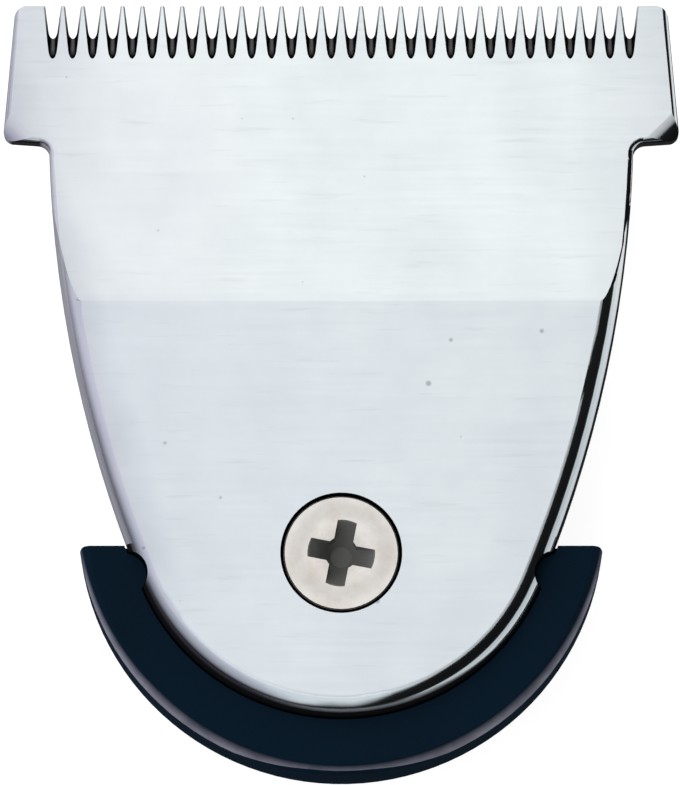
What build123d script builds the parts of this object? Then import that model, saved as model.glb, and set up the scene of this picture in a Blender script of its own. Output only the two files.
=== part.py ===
from build123d import *
import os
from math import acos, atan2, cos, hypot, pi, radians, sin, tan

# A clip-on blade set for a hair trimmer. A toothed steel comb is screwed to a moulded base. Behind
# the comb a cutter slides from side to side on a plastic yoke, pressed up by a wire spring.
# Millimetres. X runs along the teeth, +Y points to the tooth tips, +Z out of the comb's face.
# Places along Y, named _y, are measured from the screw axis until the set is put on its origin.

# Height of the stack, from the underside of the base
plug_height = 4.0          # part of the base that goes into the trimmer
ledge_height = 3.4         # thumb ledge round the comb's tail
comb_proud = 1.0           # comb's face above the ledge
comb_thickness = 1.8

# Comb blade: plan
tip_y = 26.75              # tooth tips
ear_y = 20.05              # underside of the two ears, at its outer end
ear_drop = 0.15            # fall of that underside towards the neck
ear_tip_width = 1.8        # from the last slot's middle to the ear's outer edge, at the tips
ear_flare = 0.55           # how far each ear widens towards its underside
ear_overhang = 2.21        # reach of each ear beyond the neck
ear_round = 0.5
ear_tip_round = 0.65
neck_round = 0.6
waist_half = 12.25         # half width on the way down the curved side
waist_y = 7.3
tail_half = 9.6            # half width where the side meets the round tail
tail_side_y = -0.9
tail_y = -7.7              # end of the round tail
tail_round = 2.5

# Comb blade: grinding and edges
roll_radius = 0.95         # edge that the stamping die rolled over, round the front of the tail
roll_overhang = 0.03       # part of the roll that is lost beyond the cut edge
grind_y = 12.1             # line where the taper-ground front begins
tip_thickness = 0.3        # what the grinding leaves at the tips
hone_round = 0.25          # polished edge of the ground front
ear_roll_radius = 2.0      # lower corner of each ear, polished round across the corner
ear_roll_reach = 1.2       # from the ear's unrounded corner, on the slant

# Comb teeth: one slanted U-groove between each two teeth, open at the tips
tooth_pitch = 0.95
slot_count = 30
slot_nose_radius = 0.22
slot_flank_angle = 16      # degrees
slot_length = 2.65         # on the front face, from the tips
through_length = 1.55      # on the back face, from the tips

# Notches in the comb's sides and the keys of the base that fill them
notch_radius = 1.1
notch_depth = 0.47
key_clearance = 0.08

# Screw
screw_diameter = 2.9
screw_length = 5.0         # below the head
screw_point = 0.5
head_diameter = 5.5
head_height = 1.1
head_sink = 0.12           # head below the comb's face
head_edge_bevel = 0.08
head_clearance = 0.12      # round the head, in the comb's counterbore
shank_clearance = 0.15     # round the shank, in the comb
pilot_clearance = 0.03     # round the shank, in the boss
pilot_end_gap = 0.5
recess_span = 3.2          # cross recess, tip to tip
recess_arm = 0.92
recess_core_radius = 0.78
recess_tip_radius = 0.5
recess_depth = 1.3
recess_turn = -11          # degrees, as the screw was left

# Base: thumb ledge
ledge_radius = 12.5
ledge_rear_y = -10.4
ledge_front_y = 0.5
ledge_bevel = 0.45
ledge_corner_round = 0.25
seat_clearance = 0.1       # round the comb's tail

# Base: plug, rails and screw boss
plug_half = 8.9
plug_wall = 1.3
plug_arc_y = 1.0           # centre of the plug's half-round rear
rail_front_y = 18.5
rail_nose = 2.2            # slope at the front end of each rail
web_front_y = 5.0          # straight shoulder that the cutter runs along
nib_reach = 2.0            # guide nibs on the rails, in front of the yoke
nib_length = 0.8
nib_height = 3.0
nib_clearance = 0.1
boss_waist_radius = 3.0
boss_collar_radius = 3.9
boss_collar_lead = 0.5
boss_end_z = 1.4
latch_width = 6.0          # window for the trimmer's catch, in the rear wall
latch_height = 1.6
latch_z = 2.0
bead_radius = 0.4          # bead along each rail, to hold in the trimmer
bead_length = 5.0
bead_y = 10.0
bead_z = 1.6

# Cutter blade
cutter_thickness = 0.9
oil_gap = 0.02             # between the cutter and the comb
guide_clearance = 0.1      # between the cutter and the shoulder of the base
cutter_setback = 0.5       # cutter tips behind the comb's tips
cutter_slot_length = 1.7
cutter_slot_tip = 0.68     # slot width at the tips
cutter_slot_root = 0.45
cutter_tooth_side = 0.2    # half width of the outermost teeth
cutter_head_y = 20.6       # rear edge of the wide head
cutter_head_round = 0.8
cutter_stem_round = 1.2
cutter_bevel_length = 3.5  # back bevel towards the tips
cutter_tip_thickness = 0.45
half_stroke = 1.0          # travel to each side
side_clearance = 0.2       # from the cutter and yoke to a rail, at full travel

# Drive yoke
yoke_rear_gap = 0.3        # behind the yoke, to the base
yoke_front_y = 14.6
yoke_round = 1.0
drive_y = 9.6              # centre of the drive slot
drive_slot_width = 3.2
drive_slot_length = 5.2
drive_slot_depth = 3.4
drive_wall = 0.9
drive_lead = 0.3           # bevel round the slot's mouth
drive_end_z = 1.4
stake_diameter = 1.8
stake_clearance = 0.05
stake_edge = 0.7           # from a stake to the side of the cutter
stake_sink = 0.1           # stake end below the cutter's face

# Tension spring
wire_diameter = 0.8
spring_gap = 0.05          # wire to boss, web and yoke
leg_land = 0.1             # from a leg's end to the edge of the yoke, at full travel
leg_tip_y = 13.4
bend_flats = 6             # short straights that make up the bend

# Levels and places that follow
ledge_z = plug_height + ledge_height
front_z = ledge_z + comb_proud
seat_z = front_z - comb_thickness
cutter_z = seat_z - oil_gap - cutter_thickness
head_seat_z = front_z - head_sink - head_height
pilot_z = head_seat_z - screw_length - pilot_end_gap
grind_slope = (comb_thickness - tip_thickness) / (tip_y - grind_y)
ledge_center_y = ledge_rear_y + ledge_radius
cutter_tip_y = tip_y - cutter_setback
cutter_rear_y = web_front_y + guide_clearance
wire_radius = wire_diameter / 2
wire_z = plug_height - spring_gap - wire_radius
origin_y = (tip_y + ledge_rear_y) / 2
rail_inner_half = plug_half - plug_wall
slider_half = rail_inner_half - side_clearance - half_stroke
stake_x = slider_half - stake_edge - stake_diameter / 2
leg_tip_half = slider_half - half_stroke - leg_land - wire_radius
ear_tip_half = tooth_pitch * (slot_count - 1) / 2 + ear_tip_width
ear_half = ear_tip_half + ear_flare
neck_half = ear_half - ear_overhang
neck_y = ear_y - ear_drop


def vertices_at(shape, points):
    """The corners of a flat shape that lie at the given points."""
    return [shape.vertices().sort_by_distance((x, y, 0))[0] for x, y in points]


def both_sides(points):
    """Points and their mirror images across the middle plane."""
    return points + [(-x, y) for x, y in points]


def ground_z(y):
    """Height of the taper-ground front face of the comb."""
    return front_z - grind_slope * (y - grind_y)


def ground_plane(x, y):
    """The taper-ground front face, with its origin at a point of it."""
    return Plane((x, y, ground_z(y)), x_dir=(1, 0, 0), z_dir=(0, grind_slope, 1))


def tail_outline():
    """Plan of the comb below its ears: curved sides and a round tail."""
    neck = Line((-neck_half, neck_y), (neck_half, neck_y))
    side = ThreePointArc((neck_half, neck_y), (waist_half, waist_y), (tail_half, tail_side_y))
    tail = ThreePointArc((tail_half, tail_side_y), (0, tail_y), (-tail_half, tail_side_y))
    plan = make_face(neck + side + tail + mirror(side, about=Plane.YZ))
    return fillet(vertices_at(plan, both_sides([(tail_half, tail_side_y)])), tail_round)


def comb_outline():
    """T-shaped plan of the comb: the tail and the head with its two ears."""
    head = make_face(Polyline((-ear_tip_half, tip_y), (ear_tip_half, tip_y), (ear_half, ear_y),
                              (neck_half, neck_y), (-neck_half, neck_y), (-ear_half, ear_y), close=True))
    head = fillet(vertices_at(head, both_sides([(ear_half, ear_y)])), ear_round)
    plan = head + tail_outline()
    return fillet(vertices_at(plan, both_sides([(neck_half, neck_y)])), neck_round)


def roll_waste():
    """What the rolled-over front edge takes off round the tail, up to the ears."""
    sheet = offset(tail_outline(), roll_overhang, kind=Kind.INTERSECTION)
    rolled = extrude(Pos(0, 0, seat_z) * sheet, comb_thickness)
    front_edges = rolled.faces().sort_by(Axis.Z)[-1].edges().sort_by(Axis.Y)
    rolled = fillet(front_edges[:-1], roll_radius)
    around = Box(4 * ear_half, 4 * ear_half, comb_thickness, align=(Align.CENTER, Align.MAX, Align.MIN))
    return Pos(0, neck_y - neck_round, seat_z) * around - rolled


def ear_corner_waste(side):
    """What polishing takes off the lower corner of an ear: outside a cylinder that lies across it."""
    corner = ground_plane(side * ear_half, ear_y) * Rot(0, 0, -45 if side > 0 else -135)
    block = Box(2 * ear_roll_reach, 4 * ear_roll_reach, 2 * ear_roll_radius,
                align=(Align.MIN, Align.CENTER, Align.MIN))
    roll = Cylinder(ear_roll_radius, 4 * ear_roll_reach, rotation=(90, 0, 0))
    return corner * Pos(-ear_roll_reach, 0, -ear_roll_radius) * (block - roll)


def ground_front():
    """All that lies under the ground front, with a polished edge round the ears and the neck."""
    block = extrude(Pos(0, 0, seat_z - comb_thickness) * comb_outline(), 4 * comb_thickness)
    ground = ground_plane(0, grind_y)
    block = split(block, bisect_by=ground, keep=Keep.BOTTOM)
    front = block.faces().sort_by(Axis((0, 0, 0), ground.z_dir))[-1]
    rim = front.edges().sort_by(Axis.Y)
    block = fillet(rim[:-1], hone_round)
    return block - [ear_corner_waste(side) for side in (-1, 1)]


def notch_places():
    """Centres of the round notches in the two sides of the comb's tail."""
    x = tail_half - notch_depth + notch_radius
    return Locations((x, tail_side_y), (-x, tail_side_y))


def comb_slot():
    """Grinding wheel's path for one slot: a U that dips from the front face to the back at a slant."""
    start = Vector(0, tip_y - slot_length, ground_z(tip_y - slot_length))
    through = Vector(0, tip_y - through_length, seat_z)
    flank = radians(slot_flank_angle)
    r = slot_nose_radius
    nose_x = r * cos(flank)
    nose_z = r - r * sin(flank)
    mouth_z = slot_length
    mouth_x = nose_x + (mouth_z - nose_z) * tan(flank)
    walls = Polyline((nose_x, nose_z), (mouth_x, mouth_z), (-mouth_x, mouth_z), (-nose_x, nose_z))
    nose = ThreePointArc((-nose_x, nose_z), (0, 0), (nose_x, nose_z))
    slant = Plane(start, x_dir=(-1, 0, 0), z_dir=through - start)
    return extrude(slant * make_face(walls + nose), slot_length + 2 * comb_thickness)


def comb_blade():
    plan = comb_outline()
    plan = fillet(vertices_at(plan, both_sides([(ear_tip_half, tip_y)])), ear_tip_round)
    blade = extrude(Pos(0, 0, seat_z) * plan, comb_thickness) - roll_waste()
    blade &= ground_front()

    blade -= [place * Cylinder(notch_radius, 2 * front_z) for place in notch_places()]
    blade -= Cylinder(screw_diameter / 2 + shank_clearance, 2 * front_z)
    head_room = Circle(head_diameter / 2 + head_clearance)
    blade -= extrude(Pos(0, 0, head_seat_z) * head_room, comb_thickness)

    slot = comb_slot()
    return blade - [place * slot for place in GridLocations(tooth_pitch, 1, slot_count, 1)]


def cutter_slot():
    """Tapered gap between two cutter teeth."""
    root_y = cutter_tip_y - cutter_slot_length
    tip = cutter_slot_tip / 2
    root = cutter_slot_root / 2
    gap = make_face(Polyline((-tip, cutter_tip_y), (-root, root_y), (root, root_y), (tip, cutter_tip_y),
                             close=True))
    return extrude(Pos(0, 0, cutter_z) * gap, cutter_thickness)


def cutter_blade():
    inner_slots = slot_count - 2
    head_half = tooth_pitch * (inner_slots / 2) + cutter_tooth_side
    plan = make_face(Polyline((-slider_half, cutter_rear_y), (slider_half, cutter_rear_y),
                              (slider_half, cutter_head_y), (head_half, cutter_head_y),
                              (head_half, cutter_tip_y), (-head_half, cutter_tip_y),
                              (-head_half, cutter_head_y), (-slider_half, cutter_head_y), close=True))
    plan = fillet(vertices_at(plan, both_sides([(slider_half, cutter_head_y)])), cutter_stem_round)
    plan = fillet(vertices_at(plan, both_sides([(head_half, cutter_head_y)])), cutter_head_round)
    blade = extrude(Pos(0, 0, cutter_z) * plan, cutter_thickness)

    bevel_z = cutter_z + cutter_thickness - cutter_tip_thickness
    bevel = make_face(Polyline((cutter_tip_y - cutter_bevel_length, cutter_z), (cutter_tip_y, cutter_z),
                               (cutter_tip_y, bevel_z), close=True))
    blade -= extrude(Plane.YZ * bevel, ear_half, both=True)
    blade -= [place * Cylinder(stake_diameter / 2 + stake_clearance, 2 * front_z)
              for place in Locations((-stake_x, drive_y), (stake_x, drive_y))]
    slot = cutter_slot()
    return blade - [place * slot for place in GridLocations(tooth_pitch, 1, inner_slots, 1)]


def drive_yoke():
    rear_y = web_front_y + yoke_rear_gap
    flange_plan = Rectangle(2 * slider_half, yoke_front_y - rear_y, align=(Align.CENTER, Align.MIN))
    flange_plan = fillet(flange_plan.vertices(), yoke_round)
    yoke = extrude(Pos(0, rear_y, plug_height) * flange_plan, cutter_z - plug_height)

    drive_plan = RectangleRounded(drive_slot_width + 2 * drive_wall, drive_slot_length + 2 * drive_wall,
                                  yoke_round)
    yoke += extrude(Pos(0, drive_y, drive_end_z) * drive_plan, plug_height - drive_end_z)
    slot_plan = Rectangle(drive_slot_width, drive_slot_length)
    yoke -= extrude(Pos(0, drive_y, drive_end_z) * slot_plan, drive_slot_depth)
    mouth = yoke.faces().sort_by(Axis.Z)[0].inner_wires()[0]
    yoke = chamfer(mouth.edges(), drive_lead)

    stake = Cylinder(stake_diameter / 2, cutter_thickness - stake_sink,
                     align=(Align.CENTER, Align.CENTER, Align.MIN))
    return yoke + [Pos(x, drive_y, cutter_z) * stake for x in (-stake_x, stake_x)]


def tension_spring():
    """Hairpin of round wire: a bend behind the boss and two spread legs that press on the yoke."""
    bend = boss_waist_radius + spring_gap + wire_radius
    leave = atan2(leg_tip_y, leg_tip_half) - acos(bend / hypot(leg_tip_half, leg_tip_y))
    step = (pi + 2 * leave) / bend_flats
    reach = bend / cos(step / 2)
    turns = [leave - step * (i + 0.5) for i in range(bend_flats)]
    corners = [(reach * cos(turn), reach * sin(turn), wire_z) for turn in turns]
    route = Polyline((leg_tip_half, leg_tip_y, wire_z), *corners, (-leg_tip_half, leg_tip_y, wire_z))
    section = Plane(route @ 0, z_dir=route % 0) * Circle(wire_radius)
    return sweep(section, path=route, transition=Transition.RIGHT)


def base():
    ledge_half = make_face(Polyline((0, plug_height), (ledge_radius, plug_height),
                                    (ledge_radius, ledge_z - ledge_bevel),
                                    (ledge_radius - ledge_bevel, ledge_z), (0, ledge_z), close=True))
    ledge = revolve(Plane.XZ * ledge_half, Axis.Z)
    front_cut = Box(4 * ledge_radius, 4 * ledge_radius, 4 * front_z,
                    align=(Align.CENTER, Align.MIN, Align.CENTER))
    body = Pos(0, ledge_center_y, 0) * ledge - Pos(0, ledge_front_y, 0) * front_cut
    body = fillet(body.edges().filter_by(Axis.Z), ledge_corner_round)

    right = Line((plug_half, rail_front_y), (plug_half, plug_arc_y))
    rear = ThreePointArc((plug_half, plug_arc_y), (0, plug_arc_y - plug_half), (-plug_half, plug_arc_y))
    outer = make_face(right + rear + mirror(right, about=Plane.YZ)
                      + Line((plug_half, rail_front_y), (-plug_half, rail_front_y)))
    slot_plan = Pos(0, plug_arc_y) * (Circle(rail_inner_half) + Rectangle(
        2 * rail_inner_half, 2 * rail_front_y, align=(Align.CENTER, Align.MIN)))
    rails = extrude(outer - slot_plan, seat_z)
    nose = make_face(Polyline((rail_front_y - rail_nose, 0), (rail_front_y, 0), (rail_front_y, rail_nose),
                              close=True))
    rails -= extrude(Plane.YZ * nose, ear_half, both=True)
    bead = Cylinder(bead_radius, bead_length, rotation=(90, 0, 0))
    rails += [Pos(x, bead_y, bead_z) * bead for x in (-plug_half, plug_half)]
    nib = Pos(rail_inner_half, yoke_front_y + nib_clearance, plug_height) * Box(
        nib_reach, nib_length, nib_height, align=(Align.MAX, Align.MIN, Align.CENTER))
    rails += [nib, mirror(nib, about=Plane.YZ)]

    web = Box(2 * plug_half, web_front_y - ledge_front_y, seat_z - plug_height,
              align=(Align.CENTER, Align.MIN, Align.MIN))
    waist_z = wire_z - wire_radius - spring_gap
    boss_half = make_face(Polyline((0, boss_end_z), (boss_collar_radius - boss_collar_lead, boss_end_z),
                                   (boss_collar_radius, boss_end_z + boss_collar_lead),
                                   (boss_collar_radius, waist_z), (boss_waist_radius, waist_z),
                                   (boss_waist_radius, plug_height), (0, plug_height), close=True))
    boss = revolve(Plane.XZ * boss_half, Axis.Z)
    body = body + rails + Pos(0, ledge_front_y, plug_height) * web + boss

    keys = [place * Cylinder(notch_radius - key_clearance, 2 * front_z) for place in notch_places()]
    pocket = extrude(Pos(0, 0, seat_z) * offset(comb_outline(), seat_clearance), comb_thickness) - keys
    body -= pocket
    pilot = Circle(screw_diameter / 2 + pilot_clearance)
    body -= extrude(Pos(0, 0, pilot_z) * pilot, front_z)
    latch = Pos(0, 0, latch_z) * Box(latch_width, 2 * plug_half, latch_height,
                                     align=(Align.CENTER, Align.MAX, Align.CENTER))
    return body - Pos(0, plug_arc_y - plug_half / 2, 0) * latch


def blade_screw():
    radius = screw_diameter / 2
    head_z = front_z - head_sink
    shank_z = head_seat_z - screw_length
    head_radius = head_diameter / 2
    half = make_face(Polyline((0, shank_z), (radius - screw_point, shank_z), (radius, shank_z + screw_point),
                              (radius, head_seat_z), (head_radius, head_seat_z),
                              (head_radius, head_z - head_edge_bevel),
                              (head_radius - head_edge_bevel, head_z), (0, head_z), close=True))
    screw = revolve(Plane.XZ * half, Axis.Z)

    arms = Rectangle(recess_span, recess_arm) + Rectangle(recess_arm, recess_span)
    cross = arms + Circle(recess_core_radius)
    recess = extrude(Pos(0, 0, head_z) * Rot(0, 0, recess_turn) * cross, -recess_depth)
    recess &= Pos(0, 0, head_z) * Cone(recess_tip_radius, recess_span / 2, recess_depth,
                                       align=(Align.CENTER, Align.CENTER, Align.MAX))
    return screw - recess


os.makedirs("parts", exist_ok=True)
pieces = {
    "comb_blade": comb_blade(),
    "cutter_blade": cutter_blade(),
    "drive_yoke": drive_yoke(),
    "tension_spring": tension_spring(),
    "base": base(),
    "blade_screw": blade_screw(),
}
for name, piece in pieces.items():
    export_step(Pos(0, -origin_y, 0) * piece, f"parts/{name}.step")
    print(name, round(piece.volume, 3))
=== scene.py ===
# %% [markdown]
# # A clip-on blade set for a hair trimmer
# The set is a toothed steel comb screwed to a black moulded base. Behind the comb a cutter slides from
# side to side on a plastic yoke, pressed up by a wire spring. The solids come from CAD, so this lesson
# is about what they are made of, the light that shows it and the camera.

# %% Load the solids
from math import pi, radians
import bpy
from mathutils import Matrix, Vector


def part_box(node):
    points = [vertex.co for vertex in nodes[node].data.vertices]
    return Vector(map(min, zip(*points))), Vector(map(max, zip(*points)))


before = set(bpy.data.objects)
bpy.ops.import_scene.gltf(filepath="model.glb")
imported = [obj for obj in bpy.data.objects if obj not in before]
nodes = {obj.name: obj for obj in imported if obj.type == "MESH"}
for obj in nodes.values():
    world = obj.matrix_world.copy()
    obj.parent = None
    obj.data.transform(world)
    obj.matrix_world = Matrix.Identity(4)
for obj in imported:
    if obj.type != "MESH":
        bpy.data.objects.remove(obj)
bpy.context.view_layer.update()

from types import SimpleNamespace

import bpy
from mathutils import Euler, Vector

MM = 0.001
print("solids:", sorted(nodes))

# %% [markdown]
# ## Places on the set
# Some finishes change at a place: the grinding line of the comb, the ends of its slots, the recess of the
# screw. The places could be typed in as they are drawn, but here they are measured from the boxes of the
# solids, so that a finish stays where its solid is. +X runs along the teeth, +Y to their tips, +Z up.

# %% Places
TIP_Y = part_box("comb_blade")[1][1]
SLOT_END_Y = TIP_Y - 2.75 * MM           # just behind the slots of the comb
SLOTS_HALF = 14.35 * MM                  # half the width of the row of slots
SCREW_LOW, SCREW_HIGH = (Vector(corner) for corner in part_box("blade_screw"))
SCREW_AXIS = (SCREW_LOW + SCREW_HIGH) / 2
HEAD_GAP = 0.13 * MM                     # between the head of the screw and its counterbore
HEAD_ROOM = (SCREW_HIGH.x - SCREW_LOW.x) / 2 + HEAD_GAP
TAPER_Y = SCREW_AXIS.y + 12.1 * MM       # line where the tapered grinding begins
TAIL_Y = SCREW_AXIS.y - 6.4 * MM         # round the end of the comb's tail
LEDGE_FRONT_Y = SCREW_AXIS.y + 0.5 * MM  # straight front of the base's thumb ledge
LEDGE_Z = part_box("base")[1][2]
LEDGE_BEVEL = 0.45 * MM                  # height of the slanted edge of the ledge
print("grinding line", round(TAPER_Y / MM, 2), "mm, slots from", round(SLOT_END_Y / MM, 2), "mm")

# %% [markdown]
# ## Colours and nodes
# A colour picked from a picture is an sRGB value, but Blender's sockets take linear light. One function
# turns the one into the other. A second one adds a shader node, sets it and links it, so that a material
# below reads as a short list of what is done to the surface. Patterns take their scale from a real size.

# %% Colour, pattern and node helpers
def hex_colour(text):
    """An sRGB hex value as the linear colour that Blender's sockets take."""
    channels = [int(text[i:i + 2], 16) / 255 for i in (0, 2, 4)]
    linear = [c / 12.92 if c <= 0.04045 else ((c + 0.055) / 1.055) ** 2.4 for c in channels]
    return (*linear, 1.0)


def per_size(size_mm):
    """Texture scale at which one cell of a pattern is this long, in millimetres."""
    return 1 / (size_mm * MM)


def add(tree, kind, inputs=None, **settings):
    """Adds a node and gives its outputs. An input that is a socket is linked, any other value is set."""
    node = tree.nodes.new(kind)
    for name, value in settings.items():
        setattr(node, name, value)
    for name, value in (inputs or {}).items():
        if isinstance(value, bpy.types.NodeSocket):
            tree.links.new(value, node.inputs[name])
        else:
            node.inputs[name].default_value = value
    return node.outputs


def empty_tree(owner):
    """The node tree of a material or of the world, with the nodes that it came with taken out."""
    owner.use_nodes = True
    owner.node_tree.nodes.clear()
    return owner.node_tree


def new_material(name):
    """An empty node material, with the place (Object) and the lean (Normal) of each point of the solid."""
    material = bpy.data.materials.new(name)
    tree = empty_tree(material)
    return material, tree, add(tree, "ShaderNodeTexCoord")


def round_screw(tree, place):
    """The place measured from the axis of the screw, and the distance from that axis."""
    centred = add(tree, "ShaderNodeMapping", {
        "Vector": place, "Location": (-SCREW_AXIS.x, -SCREW_AXIS.y, 0), "Scale": (1, 1, 0)})[0]
    return centred, add(tree, "ShaderNodeVectorMath", {0: centred}, operation="LENGTH")["Value"]


def dress(node, material):
    """Gives a CAD solid its finish, in place of the plain colour that it came with."""
    nodes[node].data.materials.clear()
    nodes[node].data.materials.append(material)
    print(f"{node}: {material.name}, {len(material.node_tree.nodes)} nodes")


print("white is", [round(c, 3) for c in hex_colour("FFFFFF")])

# %% [markdown]
# ## The comb and the cutter: stamped and ground steel
# Both blades are stamped from hard steel strip. The punch rolls the front edge over and leaves a dull
# sheared wall below it. A grinding wheel then takes the flat faces: the one round the screw, and the
# tapered one behind the teeth, which is ground finer and looks paler. Masks for all this could be painted,
# but the solid itself says which is which: a ground face looks straight up, a roll leans and a wall
# stands. So the first step reads, at each point, where it lies and how it leans.

# %% Place and lean of a point on a blade
FLAT_LEAN = (0.988, 0.994)    # upward part of the normal: a roll below the first, ground above the second
TAPER_BLEND = 0.4 * MM        # to each side of their line the two grindings run into each other


def read_blade(tree, solid):
    """What the finish asks of each point: its place, its lean, and which grinding it has."""
    at = add(tree, "ShaderNodeSeparateXYZ", {0: solid["Object"]})
    lean = add(tree, "ShaderNodeSeparateXYZ", {0: solid["Normal"]})
    aside = add(tree, "ShaderNodeMath", {0: at["X"]}, operation="ABSOLUTE")[0]
    upright = add(tree, "ShaderNodeMath", {0: lean["Z"]}, operation="ABSOLUTE")[0]
    flat = add(tree, "ShaderNodeMapRange", {
        "Value": upright, "From Min": FLAT_LEAN[0], "From Max": FLAT_LEAN[1]})[0]
    tapered = add(tree, "ShaderNodeMapRange", {
        "Value": at["Y"], "From Min": TAPER_Y - TAPER_BLEND, "From Max": TAPER_Y + TAPER_BLEND})[0]
    return SimpleNamespace(place=solid["Object"], normal=solid["Normal"], at=at, lean=lean,
                           aside=aside, upright=upright, flat=flat, tapered=tapered)


print("a face is ground where its normal is", FLAT_LEAN[1], "upright")

# %% [markdown]
# ### Walls, slots and painted shade
# The sheared wall is dull, and it is painted dark as shade where it would show the bright floor. It stays
# low on the right edge, and at the left and round the tail the painted shade begins higher on the roll. A
# thin wheel cuts the slots, and painted shade keeps those and the counterbore of the screw dark. Below the
# right ear the roll is painted dark too, and that gets wider towards the ear. Each of these is a mask of
# its own, so that it can be mended by itself.

# %% Dark places of a blade
CLEAN_WALL = (0.52, 0.46)     # upward part of the normal where a wall begins, and where it is full
SHADE_WALL = (0.77, 0.54)      # the same where painted shade runs up the roll
SHADE_LEAN = (0.1, -0.3)       # lean along X and Y, added: plain wall above the first, painted shade up the roll below the last
DARK_BAND_LOW = TAPER_Y + 0.8 * MM
DARK_BAND_HIGH = TIP_Y - 7.2 * MM
DARK_BAND_RUN = 2 * MM             # the painted dark band widens over this length
DARK_BAND_UPRIGHT = (0.82, 0.62)   # it reaches down the roll to this upward part, first and last
DARK_BAND_LEAN = 0.2               # least lean to the right


def sheared_wall_and_shade(tree, blade):
    """1 on the sheared walls, painted dark as shade, and where that shade runs up the roll at left and
    tail.
    """
    side = add(tree, "ShaderNodeMath", {0: blade.lean["X"], 1: blade.lean["Y"]}, operation="ADD")[0]
    begins, full = (add(tree, "ShaderNodeMapRange", {
        "Value": side, "From Min": SHADE_LEAN[0], "From Max": SHADE_LEAN[1],
        "To Min": clean, "To Max": with_shade})[0] for clean, with_shade in zip(CLEAN_WALL, SHADE_WALL))
    return add(tree, "ShaderNodeMapRange", {
        "Value": blade.upright, "From Min": begins, "From Max": full})[0]


def right_roll_dark(tree, blade):
    """1 where the right-hand roll is painted dark, between the grinding line and the ear."""
    middle, half = (DARK_BAND_LOW + DARK_BAND_HIGH) / 2, (DARK_BAND_HIGH - DARK_BAND_LOW) / 2
    along = add(tree, "ShaderNodeMath", {0: blade.at["Y"], 1: middle, 2: half}, operation="COMPARE")[0]
    dark_band = add(tree, "ShaderNodeMath", {0: along, 1: blade.flat}, operation="SUBTRACT", use_clamp=True)[0]
    reach = add(tree, "ShaderNodeMapRange", {
        "Value": blade.at["Y"], "From Min": DARK_BAND_LOW, "From Max": DARK_BAND_LOW + DARK_BAND_RUN,
        "To Min": DARK_BAND_UPRIGHT[0], "To Max": DARK_BAND_UPRIGHT[1]})[0]
    for lies, least in ((blade.lean["X"], DARK_BAND_LEAN), (blade.upright, reach)):
        there = add(tree, "ShaderNodeMath", {0: lies, 1: least}, operation="GREATER_THAN")[0]
        dark_band = add(tree, "ShaderNodeMath", {0: dark_band, 1: there}, operation="MULTIPLY")[0]
    return dark_band


def slot_and_counterbore_shade(tree, blade):
    """1 in the slots and in the counterbore of the screw, which are painted dark as their shade."""
    among = add(tree, "ShaderNodeMath", {0: blade.aside, 1: SLOTS_HALF}, operation="LESS_THAN")[0]
    ahead = add(tree, "ShaderNodeMath", {0: blade.at["Y"], 1: SLOT_END_Y}, operation="GREATER_THAN")[0]
    row = add(tree, "ShaderNodeMath", {0: among, 1: ahead}, operation="MULTIPLY")[0]
    slotted = add(tree, "ShaderNodeMath", {0: row, 1: blade.flat}, operation="SUBTRACT", use_clamp=True)[0]
    _, radius = round_screw(tree, blade.place)
    housed = add(tree, "ShaderNodeMath", {0: radius, 1: HEAD_ROOM}, operation="LESS_THAN")[0]
    return add(tree, "ShaderNodeMath", {0: slotted, 1: housed}, operation="MAXIMUM")[0]


# the range of the dark band painted on the right-hand roll
print("oil film from", round(DARK_BAND_LOW / MM, 2), "to", round(DARK_BAND_HIGH / MM, 2), "mm")

# %% [markdown]
# ### Marks of grinding and wear
# The wheel leaves fine lines along the row of teeth. Use has added scratches the same way, cloudy stains
# and a few specks of rust. Noise that is stretched along X gives lines and scratches. A speck is the middle
# of a Voronoi cell, and the cell's own random colour chooses the few cells that have one.

# %% Marks on a blade
GRIND_LINE_MM = 0.16          # real lines are about 0.03 mm apart, too fine to show, so drawn coarser
GRIND_RUN_MM = 6.0
SCRATCH_MM = 0.3              # drawn coarser too: real ones are some hundredths of a millimetre wide
SCRATCH_RUN_MM = 3.0
SCRATCH_NOISE, SCRATCH_MOST = (0.62, 0.78), 0.2    # none below the first noise level, most above the second
STAIN_MM = 5.0
STAIN_NOISE, STAIN_MOST = (0.35, 0.75), 0.3
SPECK_MM = 2.6                # from one cell that may have a rust speck to the next
SPECK_CHOICE = (0.66, 0.9)    # random level of a cell: no speck below the first, largest above the second
SPECK_RADIUS, SPECK_SOFT = 0.07, 0.04              # shares of a cell
SPECK_MOST = 0.5


def streaks(tree, place, run_mm, width_mm, detail):
    """Noise in streaks along the row of teeth."""
    drawn = add(tree, "ShaderNodeMapping", {"Vector": place, "Scale": (
        per_size(run_mm), per_size(width_mm), per_size(width_mm))})[0]
    return add(tree, "ShaderNodeTexNoise", {"Vector": drawn, "Scale": 1, "Detail": detail})[0]


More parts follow.
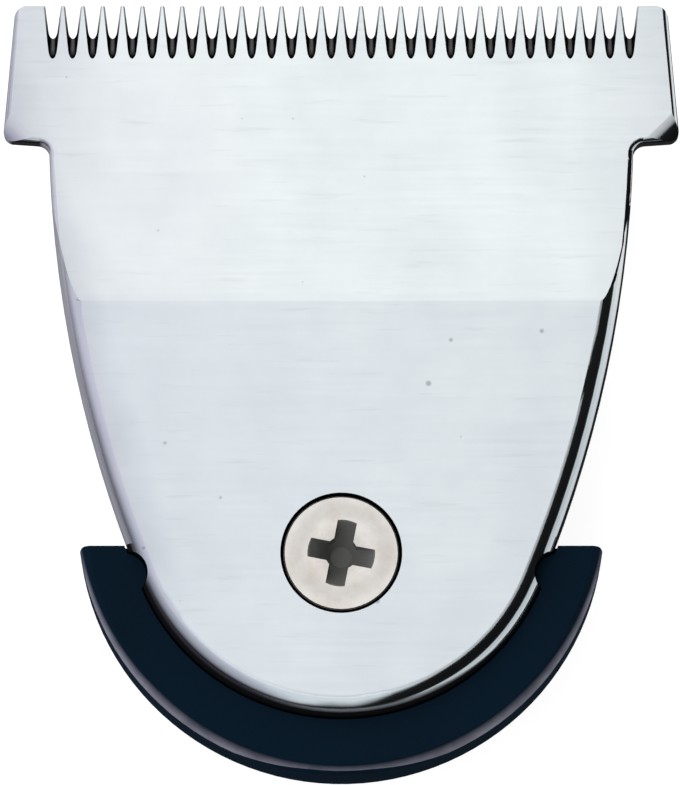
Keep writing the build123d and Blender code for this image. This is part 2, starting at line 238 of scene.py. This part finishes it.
def wear_marks(tree, blade):
    """Stains, scratches and rust specks, each as how much of it there is and its tint."""
    stain = add(tree, "ShaderNodeTexNoise", {
        "Vector": blade.place, "Scale": per_size(STAIN_MM), "Detail": 4, "Roughness": 0.6})[0]
    stained = add(tree, "ShaderNodeMapRange", {
        "Value": stain, "From Min": STAIN_NOISE[0], "From Max": STAIN_NOISE[1], "To Max": STAIN_MOST})[0]
    scratch = streaks(tree, blade.place, SCRATCH_RUN_MM, SCRATCH_MM, detail=2)
    scratched = add(tree, "ShaderNodeMapRange", {
        "Value": scratch, "From Min": SCRATCH_NOISE[0], "From Max": SCRATCH_NOISE[1],
        "To Max": SCRATCH_MOST})[0]
    cell = add(tree, "ShaderNodeTexVoronoi", {
        "Vector": blade.place, "Scale": per_size(SPECK_MM)}, voronoi_dimensions="2D")
    radius = add(tree, "ShaderNodeMapRange", {
        "Value": cell["Color"], "From Min": SPECK_CHOICE[0], "From Max": SPECK_CHOICE[1],
        "To Max": SPECK_RADIUS})[0]
    inside = add(tree, "ShaderNodeMath", {0: radius, 1: cell["Distance"]}, operation="SUBTRACT")[0]
    specked = add(tree, "ShaderNodeMapRange", {
        "Value": inside, "From Max": SPECK_SOFT, "To Max": SPECK_MOST})[0]
    return (stained, "D2D4DC"), (scratched, "C8CACC"), (specked, "6E675E")


print("grinding lines", GRIND_LINE_MM, "mm, scratches", SCRATCH_MM, "mm, stains", STAIN_MM, "mm")

# %% [markdown]
# ### Shades by place
# The ears are a little greyer. The left half is painted greyer as shade, most of all along the left edge
# above the ledge, and the roll at the lower left is painted darker as shade where the light falls off. On
# the end of the tail a painted shade dims the roll's reflection. A light could give such shades, but here
# they are tints.

# %% Shades of a blade
EAR_FROM, EAR_TO = 11 * MM, 15.5 * MM         # distance from the middle
EAR_MOST = 0.8
LEFT_SHADE_FROM, LEFT_SHADE_TO = -3 * MM, -13 * MM        # along X
LEFT_SHADE_MOST = 0.35
EDGE_SLANT = 0.3                              # the left edge runs inwards about this much per length
EDGE_FROM, EDGE_TO = -10 * MM, -13 * MM       # along X, halfway along the set
EDGE_MOST = (0.2, 0.75)                       # beside the ledge, and above it
LEDGE_RUN = 3 * MM                            # the shade fades out beside the ledge over this length
LOWER_LEFT_SHADE_LEAN = (0.03, 0.22)                       # leans to the left and to the tail, multiplied
TAIL_SHADE_LEAN = (-0.05, -0.2)                     # along Y


def blade_shades(tree, blade):
    """Tints by place, greyer ears and painted shades, each as how much of it there is and its tint."""
    at, lean = blade.at, blade.lean
    eared = add(tree, "ShaderNodeMapRange", {
        "Value": blade.aside, "From Min": EAR_FROM, "From Max": EAR_TO, "To Max": EAR_MOST})[0]
    # painted shade: the left half a little greyer
    left_half_shade = add(tree, "ShaderNodeMapRange", {
        "Value": at["X"], "From Min": LEFT_SHADE_FROM, "From Max": LEFT_SHADE_TO, "To Max": LEFT_SHADE_MOST})[0]
    # painted shade along the left edge, strongest above the ledge
    across = add(tree, "ShaderNodeMath", {
        0: at["Y"], 1: EDGE_SLANT, 2: at["X"]}, operation="MULTIPLY_ADD")[0]
    most = add(tree, "ShaderNodeMapRange", {
        "Value": at["Y"], "From Min": LEDGE_FRONT_Y - LEDGE_RUN, "From Max": LEDGE_FRONT_Y,
        "To Min": EDGE_MOST[0], "To Max": EDGE_MOST[1]})[0]
    left_edge_shade = add(tree, "ShaderNodeMapRange", {
        "Value": across, "From Min": EDGE_FROM, "From Max": EDGE_TO, "To Max": most})[0]
    # painted shade on the roll at the lower left, where the light falls off
    corner = add(tree, "ShaderNodeMath", {0: lean["X"], 1: lean["Y"]}, operation="MULTIPLY")[0]
    leftward = add(tree, "ShaderNodeMath", {0: lean["X"], 1: 0.0}, operation="LESS_THAN")[0]
    lower_left_roll_shade = add(tree, "ShaderNodeMapRange", {
        "Value": corner, "From Min": LOWER_LEFT_SHADE_LEAN[0], "From Max": LOWER_LEFT_SHADE_LEAN[1], "To Max": leftward})[0]
    # painted shade dimming the reflection on the roll at the end of the tail
    tail_roll_shade = add(tree, "ShaderNodeMapRange", {
        "Value": lean["Y"], "From Min": TAIL_SHADE_LEAN[0], "From Max": TAIL_SHADE_LEAN[1]})[0]
    return ((eared, "EAEAEE"), (left_half_shade, "E4E1E8"), (left_edge_shade, "D8D4DA"), (lower_left_roll_shade, "746F76"), (tail_roll_shade, "D6DADC"))


print("ears from", EAR_FROM / MM, "mm aside")

# %% [markdown]
# ### Colour of walls and slots
# Above the ledge the left wall is painted pale as lit steel, a painted light, and the other walls are
# painted dark as shade. In a slot painted shade makes the walls and the root black and the bottom greyer,
# and it fades towards the tips to plain steel.

# %% Walls and slots
# The left wall above the ledge is painted pale, a painted light; beside the ledge it stays dark as the
# gap's shadow.
PAINTED_LIT_WALL = "B2B3B8"
LIT_WALL_LEAN = (-0.2, -0.5)                     # along X
SLOT_BOTTOM = (0.76, 0.9)                     # upward part of the normal: a wall, and the bottom
# the painted shade of a slot is black at the root and fades towards the tips
ROOT_FROM, ROOT_TO = SLOT_END_Y + 0.25 * MM, SLOT_END_Y + 0.65 * MM
SHADE_FADE_FROM, SHADE_FADE_TO = TIP_Y - 1.3 * MM, TIP_Y - 0.4 * MM
SHADE_FADE_MOST = 0.9


def wall_colour(tree, blade, wall):
    """Sheared walls painted dark as shade, but for the left one above the ledge, painted pale as lit steel.
    """
    above = add(tree, "ShaderNodeMath", {0: blade.at["Y"], 1: LEDGE_FRONT_Y}, operation="GREATER_THAN")[0]
    lightened = add(tree, "ShaderNodeMapRange", {
        "Value": blade.lean["X"], "From Min": LIT_WALL_LEAN[0], "From Max": LIT_WALL_LEAN[1], "To Max": above})[0]
    return add(tree, "ShaderNodeMix", {
        "Factor": lightened, "A": hex_colour(wall), "B": hex_colour(PAINTED_LIT_WALL)}, data_type="RGBA")["Result"]


def slot_shade_colour(tree, blade, wall, floor, steel):
    """Painted shade in a slot: black walls and roots, a greyer bottom, fading to plain steel towards the
    tips.
    """
    bottom = add(tree, "ShaderNodeMapRange", {
        "Value": blade.upright, "From Min": SLOT_BOTTOM[0], "From Max": SLOT_BOTTOM[1]})[0]
    ahead = add(tree, "ShaderNodeMapRange", {
        "Value": blade.at["Y"], "From Min": ROOT_FROM, "From Max": ROOT_TO})[0]
    floor_share = add(tree, "ShaderNodeMath", {0: bottom, 1: ahead}, operation="MULTIPLY")[0]
    shaded_slot = add(tree, "ShaderNodeMix", {
        "Factor": floor_share, "A": hex_colour(wall), "B": hex_colour(floor)}, data_type="RGBA")["Result"]
    lightened = add(tree, "ShaderNodeMapRange", {
        "Value": blade.at["Y"], "From Min": SHADE_FADE_FROM, "From Max": SHADE_FADE_TO, "To Max": SHADE_FADE_MOST})[0]
    return add(tree, "ShaderNodeMix", {
        "Factor": lightened, "A": shaded_slot, "B": hex_colour(steel)}, data_type="RGBA")["Result"]


print("slots wiped clean from", round(SHADE_FADE_FROM / MM, 2), "mm")

# %% [markdown]
# ### Relief of a blade
# Polishing leaves the roll slightly wavy, which is what makes its reflections look like metal and not like
# paint. The ground faces have only their lines. Both are bump, because they are far too shallow for the
# solid. Round the end of the tail a few thin triangles of the solid lean sideways where the real roll
# runs straight, so the sideways part of the normal is taken down there first.

# %% Relief
WAVE_MM = 2.5
WAVE_DEPTH = 0.03 * MM
LINE_DEPTH = 0.001 * MM
LINE_STRENGTH = 0.08
TAIL_HALF = 4.0 * MM          # to this side of the middle the end of the tail runs nearly straight
TAIL_RUN = 1 * MM


def blade_relief(tree, blade, lines):
    """The waves of the roll, and the grinding lines over them."""
    planed = add(tree, "ShaderNodeMath", {0: blade.flat, 1: blade.tapered}, operation="MAXIMUM")[0]
    rolled = add(tree, "ShaderNodeMath", {0: 1.0, 1: planed}, operation="SUBTRACT")[0]
    wave = add(tree, "ShaderNodeTexNoise", {
        "Vector": blade.place, "Scale": per_size(WAVE_MM), "Detail": 1})[0]
    outward = add(tree, "ShaderNodeMapRange", {"Value": blade.aside, "From Max": TAIL_HALF})[0]
    sideways = add(tree, "ShaderNodeMapRange", {
        "Value": blade.at["Y"], "From Min": TAIL_Y + TAIL_RUN, "From Max": TAIL_Y,
        "To Min": 1.0, "To Max": outward})[0]
    kept = add(tree, "ShaderNodeCombineXYZ", {"X": sideways, "Y": 1.0, "Z": 1.0})[0]
    squared = add(tree, "ShaderNodeVectorMath", {0: blade.normal, 1: kept}, operation="MULTIPLY")[0]
    waved = add(tree, "ShaderNodeBump", {
        "Height": wave, "Strength": rolled, "Distance": WAVE_DEPTH, "Normal": squared})[0]
    return add(tree, "ShaderNodeBump", {
        "Height": lines, "Strength": LINE_STRENGTH, "Distance": LINE_DEPTH, "Normal": waved})[0]


print("waves", WAVE_MM, "mm long,", round(WAVE_DEPTH / MM, 3), "mm deep")

# %% [markdown]
# ### The blade steel
# Now the parts come together: the two grindings, tinted by marks and by the shades painted by place, then
# the walls and the painted dark band over them, then the painted shade of the slots and the counterbore.
# Steel is a metal, so its colour is the colour of its reflections, and the roughness tells the faces apart:
# mirror-like on the roll, satin on the ground faces, dull on the dark walls and the painted shade, which
# are no metal. The cutter is the same steel, ground less finely.

# %% Blade steel
SATIN = (0.285, 0.315)        # roughness in and between the grinding lines
LINE_NOISE = (0.3, 0.7)       # noise levels of the one and the other
ROLL_ROUGH = 0.1
DULL_ROUGH = 0.8
DULL_GLOSS = 0.05             # the dark walls and the painted shade hardly shine


def ground_steel(name, face, taper, wall, shaded_slot_wall, shaded_slot_floor):
    """Steel strip: satin on its ground faces, bright on its rolled edge, dull on walls and in slots."""
    material, tree, solid = new_material(name)
    blade = read_blade(tree, solid)
    lines = streaks(tree, blade.place, GRIND_RUN_MM, GRIND_LINE_MM, detail=3)
    dark = add(tree, "ShaderNodeMath", {
        0: sheared_wall_and_shade(tree, blade), 1: right_roll_dark(tree, blade)}, operation="MAXIMUM")[0]
    slot_shade = slot_and_counterbore_shade(tree, blade)
    dull = add(tree, "ShaderNodeMath", {0: dark, 1: slot_shade}, operation="MAXIMUM")[0]
    bare = add(tree, "ShaderNodeMath", {0: 1.0, 1: dull}, operation="SUBTRACT")[0]

    colour = add(tree, "ShaderNodeMix", {
        "Factor": blade.tapered, "A": hex_colour(face), "B": hex_colour(taper)}, data_type="RGBA")["Result"]
    for amount, tint in (*wear_marks(tree, blade), *blade_shades(tree, blade)):
        colour = add(tree, "ShaderNodeMix", {"Factor": amount, "A": colour, "B": hex_colour(tint)},
                     data_type="RGBA", blend_type="MULTIPLY")["Result"]
    for amount, cover in ((dark, wall_colour(tree, blade, wall)),
                          (slot_shade, slot_shade_colour(tree, blade, shaded_slot_wall, shaded_slot_floor, taper))):
        colour = add(tree, "ShaderNodeMix", {
            "Factor": amount, "A": colour, "B": cover}, data_type="RGBA")["Result"]

    satin = add(tree, "ShaderNodeMapRange", {
        "Value": lines, "From Min": LINE_NOISE[0], "From Max": LINE_NOISE[1],
        "To Min": SATIN[0], "To Max": SATIN[1]})[0]
    shine = add(tree, "ShaderNodeMix", {"Factor": blade.flat, "A": ROLL_ROUGH, "B": satin})["Result"]
    rough = add(tree, "ShaderNodeMix", {"Factor": dull, "A": shine, "B": DULL_ROUGH})["Result"]
    surface = add(tree, "ShaderNodeBsdfPrincipled", {
        "Base Color": colour, "Roughness": rough, "Metallic": bare, "Specular IOR Level": DULL_GLOSS,
        "Normal": blade_relief(tree, blade, lines)})[0]
    add(tree, "ShaderNodeOutputMaterial", {"Surface": surface})
    return material


# For both blades the wall and slot colours are painted shade: dark sheared walls, black slot walls and
# roots, a greyer slot bottom.
dress("comb_blade", ground_steel("stamped_ground_steel", face="DCE2E3", taper="E1E6E4", wall="131416",
                                 shaded_slot_wall="030304", shaded_slot_floor="7B7B7B"))
dress("cutter_blade", ground_steel("ground_cutter_steel", face="CDD1D4", taper="D2D6D8", wall="3A3B3E",
                                   shaded_slot_wall="3A3B3E", shaded_slot_floor="8A8B8C"))

# %% [markdown]
# ## The screw: nickel-plated steel
# The screw is cold-headed and plated, so it is smoother and warmer than the comb. Its head keeps faint
# rings from the heading die. Its recess and the gap round its rim get painted shade. The recess is in the
# solid, so all that lies below the top of the head can simply be painted dark by its depth, and the side
# of the head black, as the shadow of the gap.

# %% Screw steel
RING_MM = 1.38                # real rings are about 0.2 mm apart, too fine to show, so drawn coarser
RING_SPACING = 2 * pi / 20    # from ring to ring of the wave texture at scale 1
TARNISH_MM = 1.1
TARNISH_NOISE = (0.35, 0.7)   # bright plate below the first noise level, warm above the second
TARNISH_DEPTH, TARNISH_STRENGTH = 0.01 * MM, 0.2
RIM = 2.5 * MM                # outside this radius the painted shade is black, the shadow of the gap round the head
SHADE_FROM, SHADE_TO = SCREW_HIGH.z - 0.02 * MM, SCREW_HIGH.z - 0.07 * MM
PLATE_SHINE = (0.24, 0.32)    # roughness in and between the rings
SUNK_ROUGH = 0.7


def plated_steel(name, bright, warm, recess_shade, rim_shadow):
    """Nickel plate over a headed screw: warm grey, faint rings, and painted shade below the top of the
    head.
    """
    material, tree, solid = new_material(name)
    place = solid["Object"]
    height = add(tree, "ShaderNodeSeparateXYZ", {0: place})["Z"]
    # painted shade: all that lies below the top of the head is darkened
    sunk = add(tree, "ShaderNodeMapRange", {
        "Value": height, "From Min": SHADE_FROM, "From Max": SHADE_TO})[0]
    bare = add(tree, "ShaderNodeMath", {0: 1.0, 1: sunk}, operation="SUBTRACT")[0]
    centred, radius = round_screw(tree, place)
    outside = add(tree, "ShaderNodeMath", {0: radius, 1: RIM}, operation="GREATER_THAN")[0]
    shade_colour = add(tree, "ShaderNodeMix", {
        "Factor": outside, "A": hex_colour(recess_shade), "B": hex_colour(rim_shadow)},
        data_type="RGBA")["Result"]
    tarnish = add(tree, "ShaderNodeTexNoise", {
        "Vector": place, "Scale": per_size(TARNISH_MM), "Detail": 4, "Roughness": 0.65})[0]
    patch = add(tree, "ShaderNodeMapRange", {
        "Value": tarnish, "From Min": TARNISH_NOISE[0], "From Max": TARNISH_NOISE[1]})[0]
    plate = add(tree, "ShaderNodeMix", {
        "Factor": patch, "A": hex_colour(bright), "B": hex_colour(warm)}, data_type="RGBA")["Result"]
    colour = add(tree, "ShaderNodeMix", {"Factor": sunk, "A": plate, "B": shade_colour}, data_type="RGBA")["Result"]
    rings = add(tree, "ShaderNodeTexWave", {
        "Vector": centred, "Scale": RING_SPACING * per_size(RING_MM), "Distortion": 2, "Detail": 2},
        wave_type="RINGS", rings_direction="Z")["Fac"]
    shine = add(tree, "ShaderNodeMapRange", {
        "Value": rings, "To Min": PLATE_SHINE[0], "To Max": PLATE_SHINE[1]})[0]
    rough = add(tree, "ShaderNodeMix", {"Factor": sunk, "A": shine, "B": SUNK_ROUGH})["Result"]
    relief = add(tree, "ShaderNodeBump", {
        "Height": tarnish, "Strength": TARNISH_STRENGTH, "Distance": TARNISH_DEPTH})[0]
    surface = add(tree, "ShaderNodeBsdfPrincipled", {
        "Base Color": colour, "Roughness": rough, "Metallic": bare, "Normal": relief})[0]
    add(tree, "ShaderNodeOutputMaterial", {"Surface": surface})
    return material


# The recess and rim colours are painted shade: the recess darkened, the side of the head black as the gap's
# shadow.
dress("blade_screw", plated_steel("nickel_plated_screw_steel", bright="D9D5CF", warm="CCC4BA",
                                  recess_shade="73736D", rim_shadow="0A0A0A"))

# %% [markdown]
# ## The spring: drawn wire
# Spring wire is pulled through a die, which leaves it bright, and heat treatment then tints it a little
# brown in patches. One slow noise does both, because the tinted patches are also the duller ones.

# %% Spring wire
TINT_MM = 1.5
WIRE_SHINE = (0.18, 0.4)      # roughness of bright and of tinted wire


def drawn_wire(name, bright, tint):
    """Spring steel wire with a patchy heat tint."""
    material, tree, solid = new_material(name)
    tinted = add(tree, "ShaderNodeTexNoise", {
        "Vector": solid["Object"], "Scale": per_size(TINT_MM), "Detail": 4})[0]
    colour = add(tree, "ShaderNodeMix", {
        "Factor": tinted, "A": hex_colour(bright), "B": hex_colour(tint)}, data_type="RGBA")["Result"]
    rough = add(tree, "ShaderNodeMapRange", {
        "Value": tinted, "To Min": WIRE_SHINE[0], "To Max": WIRE_SHINE[1]})[0]
    surface = add(tree, "ShaderNodeBsdfPrincipled", {
        "Base Color": colour, "Roughness": rough, "Metallic": 1.0})[0]
    add(tree, "ShaderNodeOutputMaterial", {"Surface": surface})
    return material


dress("tension_spring", drawn_wire("drawn_spring_wire", bright="C2C2C4", tint="8E8378"))

# %% [markdown]
# ## The base and the yoke: moulded plastics
# The base is a blue-black nylon moulding with a fine eroded grain. The slanted edge of its ledge carries a
# painted highlight, pale grey, widest at the sides, thin at the rear and fading out at the front corners. A
# mask could be painted for that, but the slanted edge is found by its lean, halfway between a top and a
# wall, and its height and place give the width of the painted highlight.

# %% Painted highlight on the edge of the ledge
SLANT, SLANT_ROOM = 0.7, 0.15                 # upward part of the normal on the slanted edge
HIGHLIGHT_RUN = 7.0 * MM                            # behind the front corners it widens over this length
HIGHLIGHT_TOP = (0.7, 0.1)                          # upper limit at the front and further back, in bevel heights
HIGHLIGHT_FULL = 0.85                               # how far down it is palest, in bevel heights
HIGHLIGHT_FOOT = (0.6, 1.05)                        # lower limit at the rear and at the sides, in bevel heights
REAR_FROM, REAR_TO = 1.5 * MM, 5.5 * MM       # distance from the middle, from the rear to the sides
FADE_FROM, FADE_TO = LEDGE_FRONT_Y - 0.3 * MM, LEDGE_FRONT_Y - 2.5 * MM
CORNER_HIGHLIGHT = 0.25                             # what is left of it at the front corners
PATCH_MM = 1.2                                # from one patch of the painted highlight to the next
PATCH_NOISE, PATCH_HIGHLIGHT = (0.2, 0.6), (0.55, 1.0)


def down_edge(share):
    """Height of the point that lies this share of the bevel below the top of the ledge."""
    return LEDGE_Z - share * LEDGE_BEVEL


def painted_edge_highlight(tree, place, upward):
    """How much painted highlight the slanted edge has, from 0 to 1."""
    at = add(tree, "ShaderNodeSeparateXYZ", {0: place})
    aside = add(tree, "ShaderNodeMath", {0: at["X"]}, operation="ABSOLUTE")[0]
    slanted = add(tree, "ShaderNodeMath", {0: upward, 1: SLANT, 2: SLANT_ROOM}, operation="COMPARE")[0]
    top = add(tree, "ShaderNodeMapRange", {
        "Value": at["Y"], "From Min": LEDGE_FRONT_Y, "From Max": LEDGE_FRONT_Y - HIGHLIGHT_RUN,
        "To Min": down_edge(HIGHLIGHT_TOP[0]), "To Max": down_edge(HIGHLIGHT_TOP[1])})[0]
    below = add(tree, "ShaderNodeMapRange", {
        "Value": at["Z"], "From Min": top, "From Max": down_edge(HIGHLIGHT_FULL)})[0]
    foot = add(tree, "ShaderNodeMapRange", {
        "Value": aside, "From Min": REAR_FROM, "From Max": REAR_TO,
        "To Min": down_edge(HIGHLIGHT_FOOT[0]), "To Max": down_edge(HIGHLIGHT_FOOT[1])})[0]
    above = add(tree, "ShaderNodeMath", {0: at["Z"], 1: foot}, operation="GREATER_THAN")[0]
    patch = add(tree, "ShaderNodeTexNoise", {"Vector": place, "Scale": per_size(PATCH_MM), "Detail": 4})[0]
    highlight_patches = add(tree, "ShaderNodeMapRange", {
        "Value": patch, "From Min": PATCH_NOISE[0], "From Max": PATCH_NOISE[1],
        "To Min": PATCH_HIGHLIGHT[0], "To Max": PATCH_HIGHLIGHT[1]})[0]
    rearward = add(tree, "ShaderNodeMapRange", {
        "Value": at["Y"], "From Min": FADE_FROM, "From Max": FADE_TO, "To Min": CORNER_HIGHLIGHT})[0]
    # the painted highlight: slanted, within its band of height, in patches, fading at the front corners
    highlight = slanted
    for share in (below, above, highlight_patches, rearward):
        highlight = add(tree, "ShaderNodeMath", {0: highlight, 1: share}, operation="MULTIPLY")[0]
    return highlight


print("rub widens over", round(HIGHLIGHT_RUN / MM, 1), "mm")

# %% [markdown]
# ### The two mouldings
# The yoke is natural acetal, a slippery ivory plastic. Both plastics take the same recipe: a grain that
# lifts the surface a little, and a slow drift in shade from the way that the melt flowed. The walls slide
# along the mould when the piece is pushed out, and that scuffs them duller than the top.

# %% Moulded plastics
GRAIN_MM = 0.12
GRAIN_NOISE, GRAIN_STRENGTH = (0.3, 0.7), 0.5
FLOW_MM = 7.0
WALL_FROM, WALL_TO = 0.4, 0.2                 # upward part of the normal, from top to wall


def moulded_plastic(name, light, dark, edge_highlight, top_rough, wall_rough, grain_depth_mm, gloss):
    """An injection moulding with an eroded grain and a painted highlight on its slanted upper edge."""
    material, tree, solid = new_material(name)
    place = solid["Object"]
    upward = add(tree, "ShaderNodeSeparateXYZ", {0: solid["Normal"]})["Z"]
    grain = add(tree, "ShaderNodeTexNoise", {"Vector": place, "Scale": per_size(GRAIN_MM), "Detail": 2})[0]
    flow = add(tree, "ShaderNodeTexNoise", {
        "Vector": place, "Scale": per_size(FLOW_MM), "Detail": 4, "Distortion": 0.6})[0]
    moulding = add(tree, "ShaderNodeMix", {
        "Factor": flow, "A": hex_colour(light), "B": hex_colour(dark)}, data_type="RGBA")["Result"]
    colour = add(tree, "ShaderNodeMix", {
        "Factor": painted_edge_highlight(tree, place, upward), "A": moulding, "B": hex_colour(edge_highlight)},
        data_type="RGBA")["Result"]
    grained = add(tree, "ShaderNodeMapRange", {
        "Value": grain, "From Min": GRAIN_NOISE[0], "From Max": GRAIN_NOISE[1],
        "To Min": top_rough[0], "To Max": top_rough[1]})[0]
    scuffed = add(tree, "ShaderNodeMapRange", {
        "Value": upward, "From Min": WALL_FROM, "From Max": WALL_TO})[0]
    rough = add(tree, "ShaderNodeMix", {"Factor": scuffed, "A": grained, "B": wall_rough})["Result"]
    relief = add(tree, "ShaderNodeBump", {
        "Height": grain, "Strength": GRAIN_STRENGTH, "Distance": grain_depth_mm * MM})[0]
    surface = add(tree, "ShaderNodeBsdfPrincipled", {
        "Base Color": colour, "Roughness": rough, "Specular IOR Level": gloss, "Normal": relief})[0]
    add(tree, "ShaderNodeOutputMaterial", {"Surface": surface})
    return material


# The pale edge colour is a painted highlight on the slanted edge of the ledge.
dress("base", moulded_plastic("blue_black_moulded_nylon", light="102637", dark="0F202C", edge_highlight="9C9CA8",
                              top_rough=(0.45, 0.6), wall_rough=1.0, grain_depth_mm=0.012, gloss=0.015))
dress("drive_yoke", moulded_plastic("ivory_moulded_acetal", light="ECE9E0", dark="E2DDD0", edge_highlight="EFEDE6",
                                    top_rough=(0.3, 0.4), wall_rough=0.45, grain_depth_mm=0.004, gloss=0.4))

# %% [markdown]
# ## Floor
# The set lies on a plain white sheet. More light would make the sheet white, but it would wash out the
# steel. So the sheet takes the light as grey paper does, which keeps the shadow, and it adds a glow of its
# own only for what the camera and the metal see of it.

# %% Floor
FLOOR_HALF = 3.0
FLOOR_DROP = 0.02 * MM        # keeps the sheet just clear of the underside
SHEET_COLOUR, SHEET_GLOW = "A8A8A8", 0.9
bpy.ops.mesh.primitive_plane_add(size=2 * FLOOR_HALF, location=(0, 0, -FLOOR_DROP))
floor = bpy.context.object
floor.name = "white_sheet"
paper = bpy.data.materials.new("white_paper")
tree = empty_tree(paper)
ray = add(tree, "ShaderNodeLightPath")
mirrored = add(tree, "ShaderNodeMath", {
    0: ray["Is Glossy Ray"], 1: ray["Is Transmission Ray"]}, operation="MAXIMUM")[0]
seen = add(tree, "ShaderNodeMath", {0: ray["Is Camera Ray"], 1: mirrored}, operation="MAXIMUM")[0]
lift = add(tree, "ShaderNodeMath", {0: seen, 1: SHEET_GLOW}, operation="MULTIPLY")[0]
sheet = add(tree, "ShaderNodeBsdfDiffuse", {"Color": hex_colour(SHEET_COLOUR)})[0]
glow = add(tree, "ShaderNodeEmission", {"Color": hex_colour("FFFFFF"), "Strength": lift})[0]
both = add(tree, "ShaderNodeAddShader", {0: sheet, 1: glow})[0]
add(tree, "ShaderNodeOutputMaterial", {"Surface": both})
floor.data.materials.append(paper)
print("floor:", floor.name, "half side", FLOOR_HALF, "m")

# %% [markdown]
# ## Light
# Metal shows what stands round it, so a studio puts it in a white tent, and here the world is that tent.
# It is bright overhead and greyer towards its skirt, and its cloth is a shaded lavender at the left. It is
# open to the right, and low in front: that puts a dark band on the right-hand roll and on the end of the
# tail. At the right the white sheet sweeps up in front of the opening, and shows as a bright line below
# that band. One soft panel above and behind the teeth brightens the tapered face a little.

# %% Panel
PANEL_AT = Vector((-0.05, 0.28, 0.5))
PANEL_SIZE = (0.35, 0.25)
PANEL_LEVEL = 0.14            # the light that a mirror would show of it
lamp = bpy.data.lights.new("rear_panel", "AREA")
lamp.shape = "RECTANGLE"
lamp.size, lamp.size_y = PANEL_SIZE
lamp.energy = PANEL_LEVEL * pi * PANEL_SIZE[0] * PANEL_SIZE[1]
panel = bpy.data.objects.new("rear_panel", lamp)
panel.location = PANEL_AT
panel.rotation_euler = (-PANEL_AT).to_track_quat("-Z", "Y").to_euler()
bpy.context.collection.objects.link(panel)
print(f"{panel.name}: {lamp.energy:.2f} W")

# %% Tent
TENT_TOP, TENT_SKIRT = 1.35, 0.9
RISE_FROM, RISE_TO = 0.05, 0.75               # height of the direction, from the skirt to the top
LEFT_CLOTH, CLOTH = "DAD8E4", "FBFDFF"
LEFT_FROM, LEFT_TO = -0.35, 0.0               # along X, from the shaded cloth to the plain one
OPENING_LEVEL = 0.012
FRONT_OPENING = (0.0, -1.0, -2.25)            # the tent is open on the side that this direction points to
FRONT_SOFT = 0.3
SIDE_OPENING = (1.0, -0.12, -0.14)
SIDE_SOFT = 0.06
SWEEP_LEVEL = 1.0
SWEEP_HEIGHT, SWEEP_SOFT = 0.36, 0.03         # the white sheet sweeps up to this height
SWEEP_FROM, SWEEP_TO = 0.2, 0.5               # along X

world = bpy.data.worlds.new("white_tent")
tree = empty_tree(world)
way = add(tree, "ShaderNodeTexCoord")["Generated"]
toward = add(tree, "ShaderNodeSeparateXYZ", {0: way})
level = add(tree, "ShaderNodeMapRange", {
    "Value": toward["Z"], "From Min": RISE_FROM, "From Max": RISE_TO,
    "To Min": TENT_SKIRT, "To Max": TENT_TOP}, interpolation_type="SMOOTHSTEP")[0]
for opening, soft in ((FRONT_OPENING, FRONT_SOFT), (SIDE_OPENING, SIDE_SOFT)):
    outward = add(tree, "ShaderNodeVectorMath", {0: way, 1: opening}, operation="DOT_PRODUCT")["Value"]
    gap = add(tree, "ShaderNodeMapRange", {"Value": outward, "From Min": -soft, "From Max": soft})[0]
    level = add(tree, "ShaderNodeMix", {"Factor": gap, "A": level, "B": OPENING_LEVEL})["Result"]
right = add(tree, "ShaderNodeMapRange", {
    "Value": toward["X"], "From Min": SWEEP_FROM, "From Max": SWEEP_TO})[0]
low = add(tree, "ShaderNodeMapRange", {
    "Value": toward["Z"], "From Min": SWEEP_HEIGHT + SWEEP_SOFT, "From Max": SWEEP_HEIGHT - SWEEP_SOFT})[0]
sweep = add(tree, "ShaderNodeMath", {0: right, 1: low}, operation="MULTIPLY")[0]
level = add(tree, "ShaderNodeMix", {"Factor": sweep, "A": level, "B": SWEEP_LEVEL})["Result"]
plain = add(tree, "ShaderNodeMapRange", {
    "Value": toward["X"], "From Min": LEFT_FROM, "From Max": LEFT_TO}, interpolation_type="SMOOTHSTEP")[0]
cloth = add(tree, "ShaderNodeMix", {
    "Factor": plain, "A": hex_colour(LEFT_CLOTH), "B": hex_colour(CLOTH)}, data_type="RGBA")["Result"]
tent = add(tree, "ShaderNodeBackground", {"Color": cloth, "Strength": level})[0]
add(tree, "ShaderNodeOutputWorld", {"Surface": tent})
bpy.context.scene.world = world
print("tent:", world.name, len(tree.nodes), "nodes")

# %% [markdown]
# ## Camera
# The camera looks down on the set from a little to the side of its tail, through a long lens, as for a
# catalogue. A long lens stands far off, so near and far edges keep the same scale. The focal length
# follows from that scale, and a small lens shift puts the set where it is in the picture without turning
# the camera.

# %% Camera
IMAGE_W, IMAGE_H = 680, 785
PIXELS_PER_MM = 21.07
CENTRE_PX = (341.2, 387.6)    # where the middle of the set is in the picture
TILT = Euler((radians(10.4), 0, 0))
DISTANCE = 0.5
AIM = Vector((0, 0, 7.0 * MM))

lens = bpy.data.cameras.new("camera")
lens.sensor_width = 36
frame_height = IMAGE_H / PIXELS_PER_MM * MM
lens.lens = lens.sensor_width * DISTANCE / frame_height
lens.shift_x = (IMAGE_W / 2 - CENTRE_PX[0]) / IMAGE_H
lens.shift_y = (CENTRE_PX[1] - IMAGE_H / 2) / IMAGE_H
camera = bpy.data.objects.new("camera", lens)
camera.rotation_euler = TILT
camera.location = AIM + TILT.to_matrix() @ Vector((0, 0, DISTANCE))
bpy.context.collection.objects.link(camera)
bpy.context.scene.camera = camera
bpy.context.scene.view_settings.view_transform = "Standard"
print("lens", round(lens.lens, 1), "mm, shift", round(lens.shift_x, 4), round(lens.shift_y, 4))

# %% [markdown]
# ## End
# The finishes must not change the size of the set.

# %% End
print("end of the scene")
